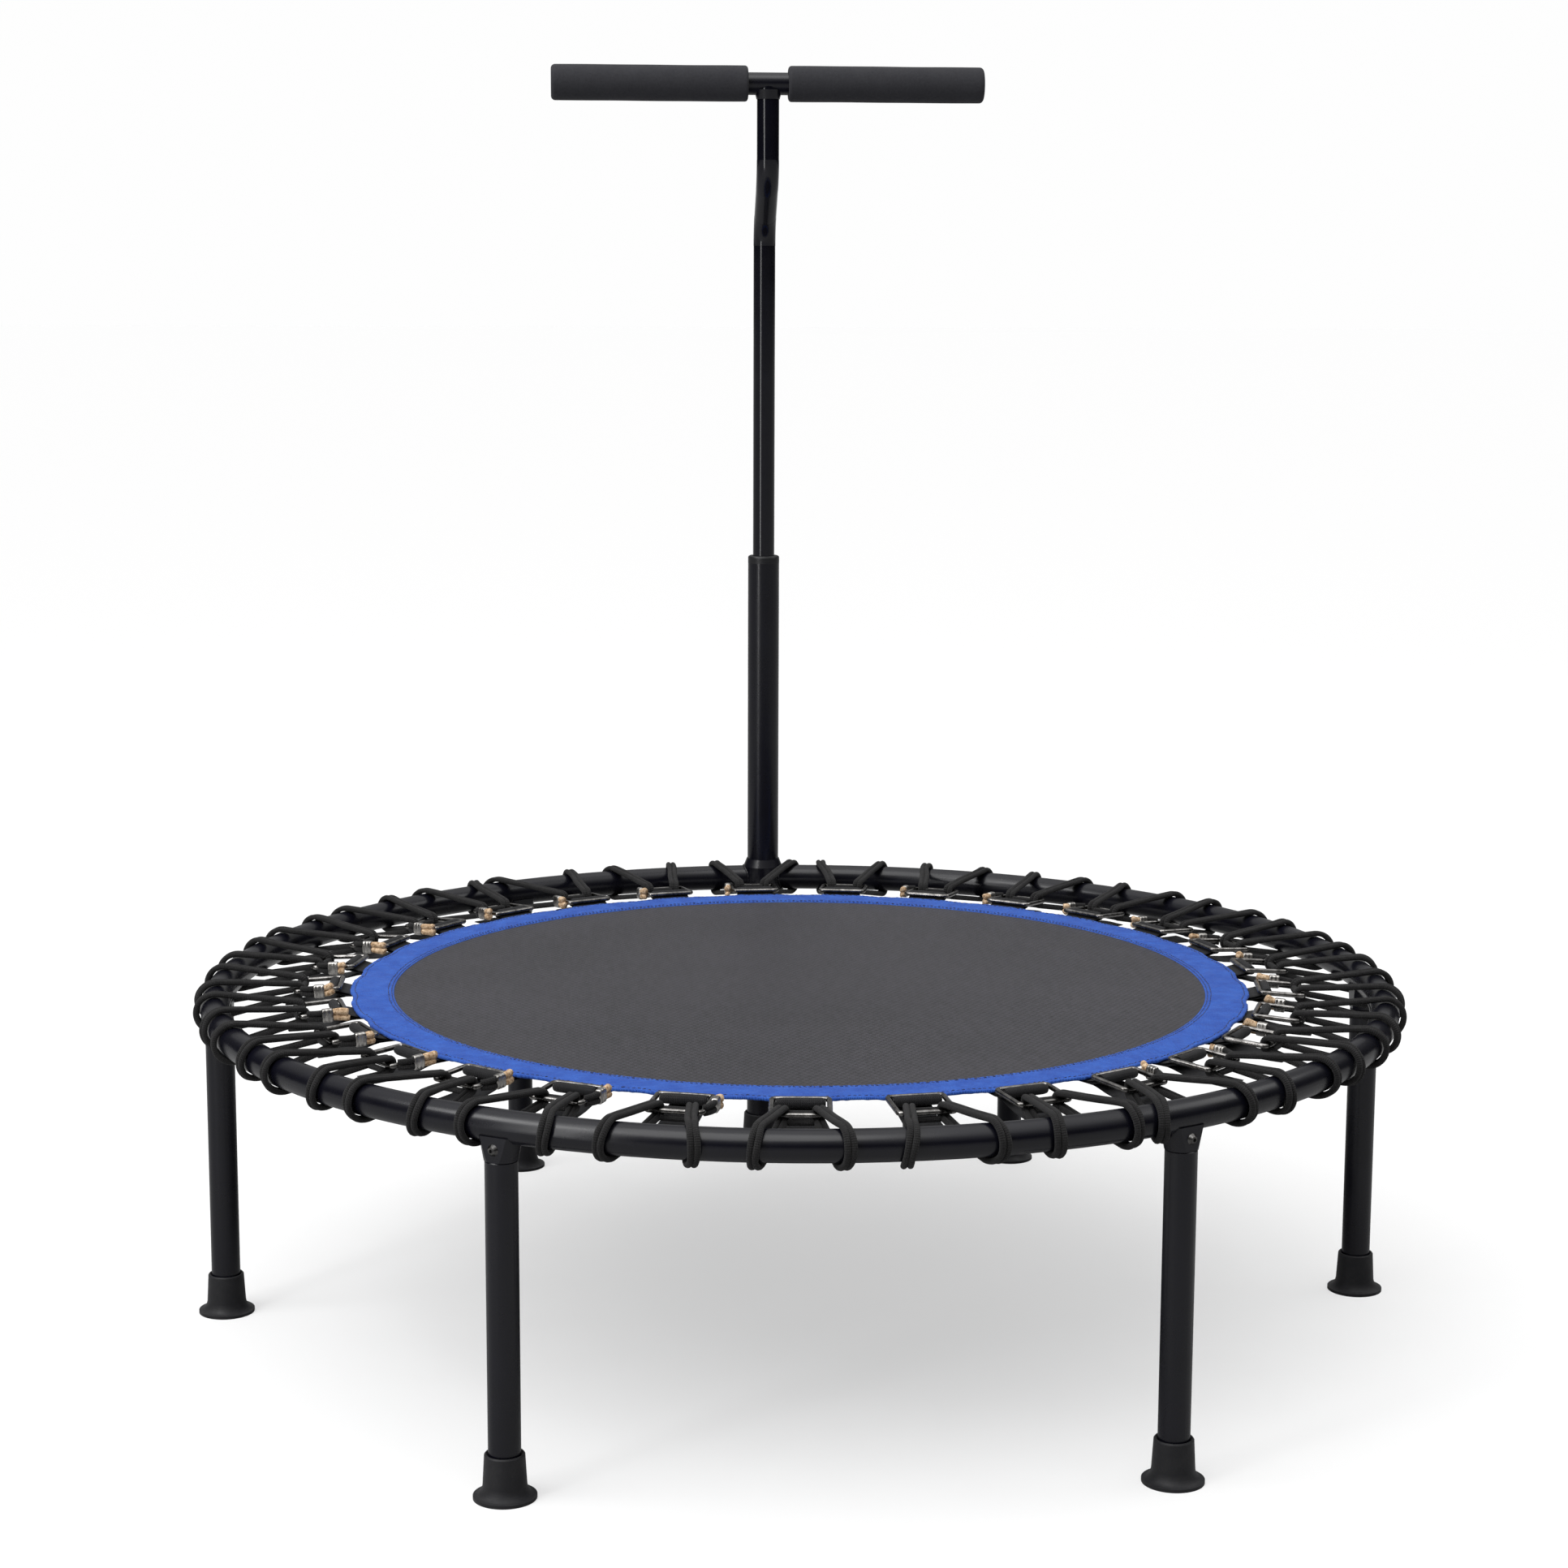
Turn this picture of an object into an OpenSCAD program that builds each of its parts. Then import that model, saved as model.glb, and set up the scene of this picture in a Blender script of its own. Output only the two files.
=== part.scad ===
// Mini trampoline: tubular ring on screw-in legs, bungee-suspended mat, height-adjustable T handle.
// Origin on the floor under the middle of the ring, +Z up, +Y towards the handle post. Millimetres.

/* [Ring] */
// Radius of the ring tube's centreline
ring_r = 507.5; // [430:0.5:620]
// Outside diameter of the ring tube
ring_tube_d = 25; // [20:0.5:32]
// Wall of the steel tubes
tube_wall = 1.5; // [1:0.1:2.2]
// Height of the ring tube's axis above the floor
ring_z = 288; // [230:1:360]

/* [Legs] */
// Number of legs round the ring
leg_count = 6; // [4:1:8]
// Outside diameter of a leg
leg_d = 25; // [20:0.5:30]
// Drop of the welded saddle below the ring tube
saddle_h = 13; // [10:0.5:20]
// Width of the saddle along the ring, at the tube
saddle_w = 33; // [30:0.5:40]
// Diameter of the threaded stud in the saddle
stud_d = 10; // [8:0.5:12]
// Reach of the stud into the leg
stud_reach = 18; // [12:1:26]
// Length of the threaded insert in the leg's top
insert_h = 25; // [20:1:40]
// Head diameter of the lock screws
screw_head_d = 9; // [7:0.5:11]

/* [Feet] */
// Height of a rubber foot
foot_h = 35; // [28:1:48]
// Diameter of the flared sole round a leg
foot_sole_d = 48.5; // [42:0.5:60]
// Height of the flare
foot_flare_h = 12; // [8:0.5:16]
// Thickness of the rim of the sole
foot_rim_h = 2.5; // [1.5:0.5:4]
// Wall of the foot's collar at its mouth
foot_wall = 3; // [2:0.25:4.5]
// Rubber under the tube's end
foot_base = 5; // [3:0.5:8]

/* [Post] */
// Outside diameter of the handle post
post_d = 32; // [28:0.5:36]
// Height of the top of the post's bushing
post_top = 624.6; // [540:1:700]
// Height of the visible ring of the bushing
bushing_h = 7.6; // [5:0.2:12]
// Depth of the bushing's liner inside the post
liner_h = 32; // [20:1:40]
// Outside diameter of the sleeve welded into the ring
sleeve_d = 40; // [38:0.5:46]
// Height of the sleeve below the ring tube's axis
sleeve_down = 22; // [16:1:40]
// Height of the sleeve's weld cone above the ring tube
sleeve_cone_h = 8; // [4:0.5:12]
// Number of height holes in the back of the post
hole_count = 7; // [3:1:7]
// Spacing of the height holes
hole_pitch = 30; // [20:1:30]

/* [Handle] */
// Outside diameter of the handle tubes
bar_d = 22; // [19:0.5:24]
// Length of upright inside the post
insert_len = 150; // [140:1:170]
// Height of the cross bar's axis
bar_z = 1095; // [1000:1:1200]
// Length over both grips
bar_len = 428; // [360:1:520]
// Offset of the bar towards the mat
bend_offset = 50; // [36:1:70]
// Angle of the double bend
bend_angle = 45; // [38:1:60]
// Centreline radius of the double bend
bend_r = 40; // [34:1:50]
// Height of the middle of the double bend
bend_mid_z = 979.5; // [900:1:1000]
// Outside diameter of a foam grip
grip_d = 35; // [30:0.5:42]
// Bare gap between the grips
grip_gap = 40; // [34:1:80]
// Foam past the end of the bar
grip_end = 5.5; // [3:0.5:10]
// Diameter of the snap button
button_d = 8; // [6:0.5:9]
// Height of the snap button above the upright's lower end
button_up = 25.4; // [20:0.2:40]

/* [Mat] */
// Height of the mat's mid plane above the ring tube's axis
mat_up = 3; // [0:0.5:8]
// Outside radius of the mat's coloured border
mat_r = 393; // [330:1:480]
// Width of the coloured border
border_w = 38; // [28:1:60]
// Thickness of the woven fabric
fabric_t = 1.5; // [1:0.1:2.5]
// Thickness of the folded border
border_t = 3.6; // [3:0.1:5]
// Width the fabric is tucked into the border
tuck_w = 21; // [12:1:24]

/* [Suspension] */
// Number of bungee units round the mat
unit_count = 29; // [20:1:30]
// Angle of the first unit
unit_start = 92; // [90:0.5:96]
// Diameter of the bungee cord
cord_d = 5.2; // [4:0.1:5.6]
// Gap between the two strands of a wrap
strand_gap = 0.3; // [0.2:0.1:0.6]
// Angle between a unit's two wraps on the ring
wrap_spread = 6.9; // [5.6:0.1:7.4]
// Wire diameter of a link
wire_d = 4.2; // [3.5:0.1:4.6]
// Outside width of a link
link_w = 48; // [46:0.5:54]
// Radial length of a link between wire centres
link_len = 38; // [32:0.5:46]
// Gap from the mat's edge to the link's inner wire centre
link_gap = 9; // [8:0.5:12]
// Height of the link's outer wire above the ring tube's axis
link_z = 4; // [3:0.5:6]
// Rise of the link's inner wire over its outer one
link_rise = 2.5; // [2:0.5:4]
// Thickness of one ply of webbing
web_t = 1.4; // [1:0.1:1.6]
// Width of the webbing loop
web_w = 37; // [30:0.5:37.5]
// Diameter of the rod in each webbing loop
rod_d = 5.2; // [4:0.2:6.4]
// Width of the flap under a link
flap_w = 30; // [20:1:34]

/* [Hidden] */
$fn = 64;
tube_r = ring_tube_d / 2;
cord_r = cord_d / 2;
wire_r = wire_d / 2;
eps = 0.05;
lap = 0.2;
hair = 0.02;
bend_lap = 0.5;
swell = 0.1;
post_y = ring_r;
bar_y = post_y - bend_offset;
leg_top = ring_z - tube_r - saddle_h;
leg_step = 360 / leg_count;
// legs stand evenly either side of the post
leg_start = 90 + leg_step / 2;
unit_step = 360 / unit_count;
strand_off = (cord_d + strand_gap) / 2;
bundle_w = 2 * cord_d + strand_gap;
upright_bottom = post_top - insert_len;
button_z = upright_bottom + button_up;
// the rest height uses the third hole from the top
holes_above = 2;
inner_wire_r = mat_r + link_gap;
outer_wire_r = inner_wire_r + link_len;
link_tilt = asin(link_rise / link_len);
link_bend = 3.5;
side_t = link_w / 2 - wire_r;
// wraps sit on the link's outer wire just inside its corners
seat_t = side_t - link_bend - bundle_w / 2 - 0.25;
run_off = wire_r + cord_r + 0.3;
belt_clear = 0.15;
// width of a saddle at the height where the wraps pass beside it
saddle_waist = leg_d + 1 + (saddle_w - leg_d - 1) * (saddle_h - cord_d) / (saddle_h + tube_r - 6);
leg_zone = asin((saddle_waist / 2 + bundle_w / 2 + 2.9) / ring_r);
// wraps beside the post lean this much, which brings them nearer to its sleeve
post_lean = 25;
post_zone = asin((sleeve_d / 2 + bundle_w / 2 + 0.6) / (ring_r * cos(post_lean)));
mat_z = ring_z + mat_up;
border_bottom = mat_z - border_t / 2;
loop_r = rod_d / 2 + 0.15 + web_t;
rod_x = outer_wire_r - link_len * cos(link_tilt) + wire_r + 0.3 + loop_r;
rod_z = ring_z + link_z + link_rise - 1.5;
// inner face of the button's flange, behind the tube's axis, and the width of its leaf spring
button_seat = 5;
leaf_w = 7;
// units whose cut cord ends are tucked out of sight
bare_units = [14, 15, 16, 28];
sectors = 6;

function unit_angle(k) = unit_start + k * unit_step;
function turn_from(a, o) = ((a - o + 540) % 360) - 180;
function beside(a, o, zone) =
  abs(turn_from(a, o)) < zone ? a - turn_from(a, o) + (turn_from(a, o) < 0 ? -zone : zone) : a;
function nearest_leg(a) = leg_start + round((a - leg_start) / leg_step) * leg_step;
// a wrap that would land on a leg or on the post moves just beside it
function wrap_angle(k, s) =
  let (a = unit_angle(k) + s * wrap_spread / 2)
  beside(beside(a, nearest_leg(a), leg_zone), 90, post_zone);
function polar(r, a) = [r * cos(a), r * sin(a)];
// radius of a belt whose two strands both clear a bar of radius r that it crosses at a slant
function snug(r, slant) = (r + cord_r + belt_clear + strand_off * abs(sin(slant))) / cos(slant);
function seat_point(k, s) =
  polar(outer_wire_r, unit_angle(k)) + polar(s * seat_t, unit_angle(k) + 90);

module annulus(d, wall) {
  difference() {
    circle(d = d);
    circle(d = d - 2 * wall);
  }
}

module pipe(d, wall, h) {
  linear_extrude(h) annulus(d, wall);
}

module at_leg(j) {
  rotate([0, 0, leg_start + j * leg_step]) translate([ring_r, 0, 0]) children();
}

module at_unit(k) {
  rotate([0, 0, unit_angle(k)]) children();
}

module frame_ring() {
  color([0.05, 0.05, 0.055]) difference() {
    translate([0, 0, ring_z]) rotate_extrude($fn = 180)
      translate([ring_r, 0]) annulus(ring_tube_d, tube_wall);
    translate([0, post_y, ring_z - 40]) cylinder(d = sleeve_d, h = 80);
  }
}

module saddle() {
  difference() {
    intersection() {
      translate([0, 0, leg_top]) cylinder(d1 = leg_d + 1, d2 = saddle_w, h = saddle_h + tube_r - 6);
      translate([-tube_r + 0.5, -40, leg_top]) cube([ring_tube_d - 1, 80, saddle_h + tube_r]);
    }
    translate([-ring_r, 0, ring_z]) rotate_extrude($fn = 180) translate([ring_r, 0]) circle(r = tube_r);
    translate([0, 0, leg_top - 1]) cylinder(d = stud_d, h = saddle_h / 2);
    translate([0, 0, ring_z - tube_r - 3.4]) rotate([0, 90, 0]) cylinder(d = screw_head_d * 0.5, h = 40);
  }
}

module leg_saddles() {
  color([0.05, 0.05, 0.055]) for (j = [0 : leg_count - 1]) at_leg(j) saddle();
}

module leg_studs() {
  color([0.6, 0.6, 0.62]) for (j = [0 : leg_count - 1])
    at_leg(j) translate([0, 0, leg_top - stud_reach]) cylinder(d = stud_d, h = stud_reach + saddle_h / 2 - 1);
}

module lock_screw() {
  translate([tube_r - 0.5, 0, ring_z - tube_r - 3.4]) rotate([0, 90, 0]) difference() {
    union() {
      translate([0, 0, -12]) cylinder(d = screw_head_d * 0.5, h = 12.5);
      cylinder(d1 = screw_head_d, d2 = screw_head_d * 0.6, h = 2.6);
    }
    translate([0, 0, 1]) cylinder(d = screw_head_d * 0.32, h = 4);
  }
}

module lock_screws() {
  color([0.35, 0.35, 0.36]) for (j = [0 : leg_count - 1]) at_leg(j) lock_screw();
}

module leg_inserts() {
  color([0.55, 0.55, 0.57]) for (j = [0 : leg_count - 1])
    at_leg(j) translate([0, 0, leg_top - insert_h])
      pipe(leg_d - 2 * tube_wall, (leg_d - 2 * tube_wall - stud_d) / 2, insert_h);
}

// leg tube with a slightly drawn-in shoulder at the top
module leg(j) {
  color([0.05, 0.05, 0.055]) at_leg(j) translate([0, 0, foot_base]) difference() {
    pipe(leg_d, tube_wall, leg_top - foot_base);
    translate([0, 0, leg_top - foot_base - 0.9]) difference() {
      cylinder(d = leg_d + 4, h = 2);
      cylinder(d1 = leg_d, d2 = leg_d - 2, h = 1);
    }
  }
}

module leg_1() { if (leg_count > 0) leg(0); }
module leg_2() { if (leg_count > 1) leg(1); }
module leg_3() { if (leg_count > 2) leg(2); }
module leg_4() { if (leg_count > 3) leg(3); }
module leg_5() { if (leg_count > 4) leg(4); }
module leg_6() {
  if (leg_count > 5) leg(5);
  if (leg_count > 6) leg(6);
  if (leg_count > 7) leg(7);
}

// rubber foot: flared sole with a rim, tapering collar, eased mouth round the tube
module rubber_foot(tube_d, sole_d) {
  neck = tube_d / 2 + foot_wall;
  shoulder = neck + 1.25;
  reach = sole_d / 2 - shoulder;
  color([0.03, 0.03, 0.03]) rotate_extrude() polygon(concat(
    [[0, 0], [sole_d / 2, 0], [sole_d / 2, foot_rim_h]],
    [for (i = [1 : 8]) [shoulder + reach * (1 - sin(i * 90 / 8)),
                        foot_rim_h + (foot_flare_h - foot_rim_h) * (1 - cos(i * 90 / 8))]],
    [[neck, foot_h - 1], [neck - 0.8, foot_h], [tube_d / 2 + 1.4, foot_h],
     [tube_d / 2 + 0.2, foot_h - 4], [tube_d / 2 + 0.2, foot_base], [0, foot_base]]));
}

module foot(j) { at_leg(j) rubber_foot(leg_d, foot_sole_d); }
module foot_1() { if (leg_count > 0) foot(0); }
module foot_2() { if (leg_count > 1) foot(1); }
module foot_3() { if (leg_count > 2) foot(2); }
module foot_4() { if (leg_count > 3) foot(3); }
module foot_5() { if (leg_count > 4) foot(4); }
module foot_6() {
  if (leg_count > 5) foot(5);
  if (leg_count > 6) foot(6);
  if (leg_count > 7) foot(7);
}

module post_sleeve() {
  top = ring_z + tube_r;
  color([0.05, 0.05, 0.055]) translate([0, post_y, 0]) difference() {
    union() {
      translate([0, 0, ring_z - sleeve_down]) cylinder(d = sleeve_d, h = sleeve_down + tube_r);
      translate([0, 0, top]) cylinder(d1 = sleeve_d, d2 = post_d + 1.5, h = sleeve_cone_h);
    }
    translate([0, 0, ring_z - sleeve_down - 1]) cylinder(d = post_d, h = sleeve_down + 80);
    translate([0, 0, ring_z - sleeve_down / 2]) rotate([-90, 0, 0]) cylinder(d = 6, h = 40);
  }
}

module sleeve_screw() {
  color([0.35, 0.35, 0.36]) translate([0, post_y, ring_z - sleeve_down / 2])
    rotate([-90, 0, 0]) difference() {
    union() {
      translate([0, 0, post_d / 2 + 0.3]) cylinder(d = 6, h = (sleeve_d - post_d) / 2 + 0.5);
      translate([0, 0, sleeve_d / 2]) cylinder(d1 = 12, d2 = 9, h = 4);
    }
    translate([0, 0, sleeve_d / 2 + 1.5]) cylinder(d = 4, h = 6);
  }
}

module post_tube() {
  color([0.05, 0.05, 0.055]) translate([0, post_y, 0]) difference() {
    translate([0, 0, foot_base]) pipe(post_d, tube_wall, post_top - bushing_h - foot_base);
    for (i = [0 : hole_count - 1])
      translate([0, 0, button_z + (holes_above - i) * hole_pitch])
        rotate([-90, 0, 0]) cylinder(d = button_d + 0.6, h = 40);
  }
}

module post_foot() {
  translate([0, post_y, 0]) rubber_foot(post_d, foot_sole_d + post_d - leg_d);
}

// plastic bushing: a ring that caps the post and a liner inside it
module post_bushing() {
  cap = post_top - bushing_h;
  color([0.04, 0.04, 0.04]) translate([0, post_y, 0]) rotate_extrude() polygon([
    [bar_d / 2 + 0.2, cap - liner_h], [post_d / 2 - tube_wall, cap - liner_h],
    [post_d / 2 - tube_wall, cap], [post_d / 2, cap],
    [post_d / 2, post_top - 1.8], [post_d / 2 - 0.6, post_top - 0.6], [post_d / 2 - 1.8, post_top],
    [bar_d / 2 + 0.8, post_top], [bar_d / 2 + 0.2, post_top - 0.6]]);
}

// upright: straight, double bend towards the mat, straight up to the coped joint
bend_rise = (bend_offset - 2 * bend_r * (1 - cos(bend_angle))) / sin(bend_angle);
bend_height = 2 * bend_r * sin(bend_angle) + bend_rise * cos(bend_angle);
bend_start = bend_mid_z - bend_height / 2;

module bend_arc() {
  // starts along +Z at the origin and turns towards -Y
  translate([0, -bend_r, 0]) rotate([90, 0, 90]) rotate_extrude(angle = bend_angle)
    translate([bend_r, 0]) annulus(bar_d + 2 * swell, tube_wall + 2 * swell);
}

// straights reach a little way into the bends, which swell slightly as drawn tube does
module straight_pipe(h) {
  pipe(bar_d, tube_wall, h);
}

module upright_tube() {
  dy = bend_r * (1 - cos(bend_angle));
  dz = bend_r * sin(bend_angle);
  color([0.05, 0.05, 0.055]) union() {
    difference() {
      translate([0, post_y, upright_bottom]) straight_pipe(bend_start - upright_bottom + bend_lap);
      translate([0, post_y, button_z]) rotate([-90, 0, 0]) cylinder(d = button_d + 0.3, h = 40);
    }
    translate([0, post_y, bend_start]) bend_arc();
    translate([0, post_y - dy, bend_start + dz]) rotate([bend_angle, 0, 0])
      translate([0, 0, -bend_lap]) straight_pipe(bend_rise + 2 * bend_lap);
    translate([0, bar_y, bend_start + bend_height]) rotate([180, 0, 0]) bend_arc();
    difference() {
      translate([0, bar_y, bend_start + bend_height - bend_lap])
        straight_pipe(bar_z - 3 - bend_start - bend_height + bend_lap);
      translate([-40, bar_y, bar_z]) rotate([0, 90, 0]) cylinder(d = bar_d, h = 80);
    }
  }
}

module cross_bar() {
  half = bar_len / 2 - grip_end;
  color([0.05, 0.05, 0.055]) translate([-half, bar_y, bar_z])
    rotate([0, 90, 0]) pipe(bar_d, tube_wall, 2 * half);
}

module bar_weld() {
  color([0.08, 0.08, 0.085]) translate([0, bar_y, 0]) difference() {
    translate([0, 0, bar_z - bar_d / 2 - 4]) cylinder(d1 = bar_d + 1, d2 = bar_d + 6, h = 9);
    translate([0, 0, bar_z - 40]) cylinder(d = bar_d, h = 60);
    translate([-40, 0, bar_z]) rotate([0, 90, 0]) cylinder(d = bar_d, h = 80);
  }
}

module bar_plugs() {
  half = bar_len / 2 - grip_end;
  color([0.03, 0.03, 0.03]) for (s = [-1, 1])
    translate([s * (half - 6), bar_y, bar_z]) rotate([0, 90, 0])
      cylinder(d = bar_d - 2 * tube_wall, h = 12, center = true);
}

module grip() {
  l = (bar_len - grip_gap) / 2;
  translate([grip_gap / 2, bar_y, bar_z]) rotate([90, 0, 90]) rotate_extrude() polygon([
    [bar_d / 2, 0], [grip_d / 2 - 1, 0], [grip_d / 2, 1],
    [grip_d / 2, l - 2], [grip_d / 2 - 0.6, l - 0.6], [grip_d / 2 - 2, l],
    [0, l], [0, l - grip_end], [bar_d / 2, l - grip_end]]);
}

module grip_right() { color([0.07, 0.07, 0.07]) grip(); }
module grip_left() { color([0.07, 0.07, 0.07]) mirror([1, 0, 0]) grip(); }

module upright_plug() {
  color([0.03, 0.03, 0.03]) translate([0, post_y, upright_bottom]) cylinder(d = bar_d - 2 * tube_wall, h = 8);
}

// leaf spring folded inside the upright, pressing on the snap button
module button_spring() {
  wall_y = -sqrt(pow(bar_d / 2 - tube_wall, 2) - pow(leaf_w / 2, 2));
  tip_y = button_seat;
  z0 = upright_bottom + 12;
  color([0.6, 0.6, 0.62]) translate([-leaf_w / 2, post_y, 0])
    rotate([90, 0, 90]) linear_extrude(leaf_w) union() {
    polygon([[wall_y, z0], [wall_y + 0.8, z0], [wall_y + 0.8, button_z + 8], [wall_y, button_z + 8]]);
    polygon([[wall_y, z0], [wall_y + 0.8, z0 - 1.2], [tip_y, button_z - 4], [tip_y, button_z + 4],
             [tip_y - 0.8, button_z + 4], [tip_y - 0.8, button_z - 3.6], [wall_y + 0.8, z0]]);
  }
}

module snap_button() {
  color([0.62, 0.62, 0.64]) translate([0, post_y, button_z]) rotate([-90, 0, 0]) union() {
    translate([0, 0, button_seat]) cylinder(d = button_d + 3, h = 1.5);
    translate([0, 0, button_seat + 1.5]) cylinder(d = button_d, h = post_d / 2 + 1.2 - button_seat - 1.5);
    translate([0, 0, post_d / 2 + 1.2]) cylinder(d1 = button_d, d2 = button_d - 2, h = 1.3);
  }
}

module mat_fabric() {
  color([0.28, 0.28, 0.29]) translate([0, 0, mat_z - fabric_t / 2])
    cylinder(r = mat_r - border_w + tuck_w, h = fabric_t, $fn = 180);
}

module mat_border() {
  color([0.12, 0.28, 0.78]) translate([0, 0, mat_z]) rotate_extrude($fn = 180) difference() {
    translate([mat_r - border_w, -border_t / 2]) square([border_w, border_t]);
    translate([mat_r - border_w - 1, -fabric_t / 2]) square([tuck_w + 1, fabric_t]);
  }
}

module stitch_ring(r, s) {
  translate([0, 0, mat_z + s * (border_t / 2 + 0.25)]) rotate_extrude($fn = 180)
    translate([r - 0.5, -0.25]) square([1, 0.5]);
}

module hem_stitching() {
  color([0.05, 0.07, 0.2]) {
    for (r = [mat_r - border_w + 2, mat_r - border_w + 5], s = [-1, 1]) stitch_ring(r, s);
    stitch_ring(mat_r - 4, 1);
  }
}

// webbing sewn under the border, passing under the link's inner wire and round a rod, with a flap below
module tab() {
  low = border_bottom - 2 * web_t;
  rotate([90, 0, 0]) translate([0, 0, -web_w / 2]) linear_extrude(web_w) union() {
    translate([rod_x, rod_z]) annulus(2 * loop_r, web_t);
    polygon([[mat_r - 27, low], [mat_r - 27, border_bottom], [mat_r + 0.4, border_bottom],
             [rod_x - loop_r * cos(25), rod_z - loop_r * sin(25)],
             [rod_x - loop_r * cos(82), rod_z - loop_r * sin(82)], [mat_r + 5, low]]);
  }
  rotate([90, 0, 0]) translate([0, 0, -flap_w / 2]) linear_extrude(flap_w)
    polygon([[mat_r - 23, low - web_t], [mat_r - 23, low], [mat_r + 3, low],
             [outer_wire_r + 10, ring_z + link_z - 13], [outer_wire_r + 10, ring_z + link_z - 13 - web_t],
             [mat_r + 3, low - web_t]]);
}

module tabs() {
  color([0.04, 0.04, 0.045]) for (k = [0 : unit_count - 1]) at_unit(k) tab();
}

// rods inside the webbing's loops, which keep them from pulling out under the links' inner wires
module tab_rods() {
  color([0.06, 0.06, 0.06]) for (k = [0 : unit_count - 1]) at_unit(k)
    translate([rod_x, 0, rod_z]) rotate([90, 0, 0]) cylinder(r = rod_d / 2, h = web_w + 1, center = true);
}

module link_frame() {
  translate([outer_wire_r, 0, ring_z + link_z]) rotate([0, link_tilt, 0]) children();
}

// rectangular link bent from wire: four straights, four corner bends
module link() {
  long = link_len - 2 * link_bend;
  wide = 2 * (side_t - link_bend);
  link_frame() for (q = [0 : 3]) {
    a = q % 2 == 0 ? link_len / 2 : side_t;
    len = q % 2 == 0 ? wide : long;
    translate([-link_len / 2, 0, 0]) rotate([0, 0, 90 * q]) {
      translate([a, len / 2, 0]) rotate([90, 0, 0]) cylinder(r = wire_r, h = len);
      translate([a - link_bend, len / 2, 0]) rotate_extrude(angle = 90)
        translate([link_bend, 0]) circle(r = wire_r);
    }
  }
}

module links() {
  color([0.25, 0.25, 0.27]) for (k = [0 : unit_count - 1]) at_unit(k) link();
}

function has_ends(k) = len([for (b = bare_units) if (b == k) b]) == 0;
crimp_len = 9;
tail_out = 12;
tail_in = 7;
crimp_x = -link_len / 2 + 2;
crimp_wall = 0.6;
// the ferrule is squeezed 0.3 mm onto the link's side wire
crimp_t = link_w / 2 + cord_r + crimp_wall - 0.3;

// flattened ferrule beside the link, holding the cord's two cut ends one over the other
module ferrule() {
  link_frame() translate([crimp_x, crimp_t, 0]) rotate([0, -90, 0]) linear_extrude(crimp_len) difference() {
    square([2 * cord_d + 2 * crimp_wall + 2 * eps, cord_d + 2 * crimp_wall], center = true);
    for (s = [-1, 1]) translate([s * (cord_r + eps), 0]) circle(r = cord_r);
  }
}

module cord_crimps() {
  color([0.75, 0.75, 0.76]) for (k = [0 : unit_count - 1]) if (has_ends(k)) at_unit(k) ferrule();
}

module cord_ends() {
  color([0.78, 0.6, 0.4]) for (k = [0 : unit_count - 1]) if (has_ends(k)) at_unit(k)
    link_frame() for (s = [-1, 1])
      translate([crimp_x + tail_out, crimp_t, s * (cord_r + eps)]) rotate([0, -90, 0])
        cylinder(r = cord_r, h = crimp_len + tail_out + tail_in + s);
}

// closed loop of cord round the ring tube and the link's outer wire, lying in one upright plane
module belt(d, big, small, drop) {
  tilt = atan2(-drop, d);
  span = sqrt(d * d + drop * drop);
  lean = asin((big - small) / span);
  run = span * cos(lean);
  translate([d, -drop, 0]) rotate([0, 0, tilt - 90 - lean]) rotate_extrude(angle = 180 + 2 * lean)
    translate([big, 0]) circle(r = cord_r);
  rotate([0, 0, tilt + 90 + lean]) rotate_extrude(angle = 180 - 2 * lean)
    translate([small, 0]) circle(r = cord_r);
  for (s = [-1, 1]) rotate([0, 0, tilt + s * (90 + lean)]) translate([small, s * lap, 0])
    rotate([s * 90, 0, 0]) cylinder(r = cord_r - hair, h = run + 2 * lap);
}

module wrap(k, s) {
  seat = seat_point(k, s);
  ring = polar(ring_r, wrap_angle(k, s));
  go = ring - seat;
  head = atan2(go[1], go[0]);
  d = norm(go);
  big = snug(tube_r, head - wrap_angle(k, s));
  small = snug(wire_r, head - unit_angle(k));
  translate([seat[0], seat[1], ring_z + link_z]) rotate([0, 0, head]) rotate([90, 0, 0])
    for (o = [-1, 1]) translate([0, 0, o * strand_off]) belt(d, big, small, link_z);
}

// the cord's run from one wrap to the other, along the inside of the link's outer wire and under it
module cross_run(k) {
  half = seat_t - strand_off - 0.6 * cord_r;
  at_unit(k) for (p = [[-run_off, 0], [0, -run_off]])
    translate([outer_wire_r + p[0], 0, ring_z + link_z + p[1]]) rotate([90, 0, 0])
      cylinder(r = cord_r, h = 2 * half, center = true);
}

module cord_sector(n) {
  from = floor(n * unit_count / sectors);
  to = floor((n + 1) * unit_count / sectors) - 1;
  color([0.04, 0.04, 0.04]) for (k = [from : to]) {
    wrap(k, -1);
    wrap(k, 1);
    cross_run(k);
  }
}

module cords_1() { cord_sector(0); }
module cords_2() { cord_sector(1); }
module cords_3() { cord_sector(2); }
module cords_4() { cord_sector(3); }
module cords_5() { cord_sector(4); }
module cords_6() { cord_sector(5); }

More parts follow.
